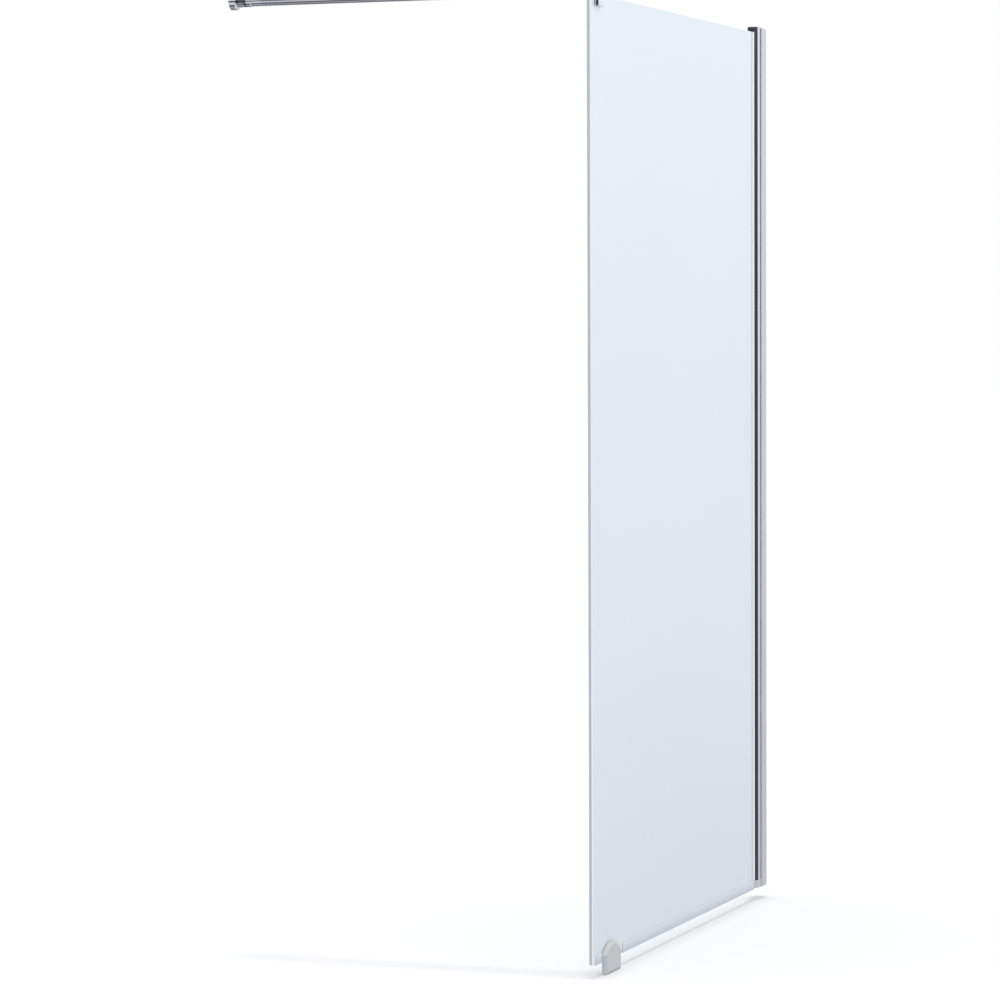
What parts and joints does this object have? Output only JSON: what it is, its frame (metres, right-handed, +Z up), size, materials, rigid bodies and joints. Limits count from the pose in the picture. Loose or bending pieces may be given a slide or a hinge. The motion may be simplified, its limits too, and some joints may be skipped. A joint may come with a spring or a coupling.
{
  "type": "shower screen",
  "caption": "Fixed glass shower screen with a wall channel, an arch-topped floor foot, and a round bar that braces its top edge to the facing wall.",
  "frame": {"origin": "centre of the wall channel's back face at its lower end, on the middle plane of the glass", "axes": "+X points into the wall that the channel is fixed to, +Z is up, and the bar runs towards +Y"},
  "size_m": [1.2, 0.8066, 1.996],
  "materials": {
    "bright_profile": "polished and bright anodised",
    "chromed_metal": "polished chrome plate",
    "chromed_cap": "chrome-plated ABS",
    "grey_cap": "light grey moulded ABS",
    "clear_seal": "translucent soft PVC",
    "toughened_glass": "clear toughened glass, ground edges",
    "rubber_pad": "soft rubber",
    "steel": "stainless steel",
    "nylon": "natural nylon"
  },
  "bodies": {
    "wall_frame": {"wall_channel": "bright_profile", "slot_covers": "chromed_cap"},
    "glass_screen": {"glazing_channel": "bright_profile", "outer_gasket": "clear_seal", "inner_gasket": "clear_seal", "edge_pads": "rubber_pad", "bottom_end_cap": "grey_cap", "top_end_cap": "chromed_cap", "side_screws": "steel", "glass_panel": "toughened_glass", "bottom_seal_short": "clear_seal", "bottom_seal_long": "clear_seal", "foot_plate": "chromed_metal", "foot_base_pad": "rubber_pad", "foot_outer_pad": "rubber_pad", "foot_inner_pad": "rubber_pad", "foot_clamp_plate": "chromed_metal", "foot_bushes": "nylon", "foot_screws": "steel", "clamp_body": "chromed_metal", "clamp_pressure_plate": "steel", "clamp_outer_pad": "rubber_pad", "clamp_inner_pad": "rubber_pad", "clamp_top_pad": "rubber_pad", "clamp_screws": "steel", "clamp_pivot_screw": "steel", "clamp_washers": "nylon"},
    "support_bar": {"bar_tube": "chromed_metal", "bar_end_plug": "chromed_metal", "plug_grub_screw": "steel", "lock_grub_screw": "steel"},
    "bar_slider": {"bar_rod": "steel", "rod_glide": "nylon", "adjusting_sleeve": "chromed_metal", "sleeve_grub_screw": "steel", "rod_knuckle": "chromed_metal"},
    "wall_flange": {"flange_neck": "chromed_metal", "flange_pivot_screw": "steel", "flange_washers": "nylon"},
    "flange_rosette": {"rosette": "chromed_metal", "rosette_ring": "rubber_pad"}
  },
  "joints": [
    {"name": "width_slide", "type": "slide", "parent": "wall_frame", "child": "glass_screen", "axis": [1, 0, 0], "range_m": [-0.0075, 0.0075]},
    {"name": "bar_swivel", "type": "hinge", "parent": "glass_screen", "child": "support_bar", "pos_m": [-1.157, 0.027, 1.95], "axis": [0, 0, 1], "range_deg": [-45, 45]},
    {"name": "bar_extend", "type": "slide", "parent": "support_bar", "child": "bar_slider", "axis": [0, 1, 0], "range_m": [0, 0.1]},
    {"name": "flange_swivel", "type": "hinge", "parent": "bar_slider", "child": "wall_flange", "pos_m": [-1.157, 0.769, 1.95], "axis": [0, 0, 1], "range_deg": [-45, 45]},
    {"name": "rosette_slide", "type": "slide", "parent": "wall_flange", "child": "flange_rosette", "axis": [0, -1, 0], "range_m": [0, 0.004]}
  ]
}
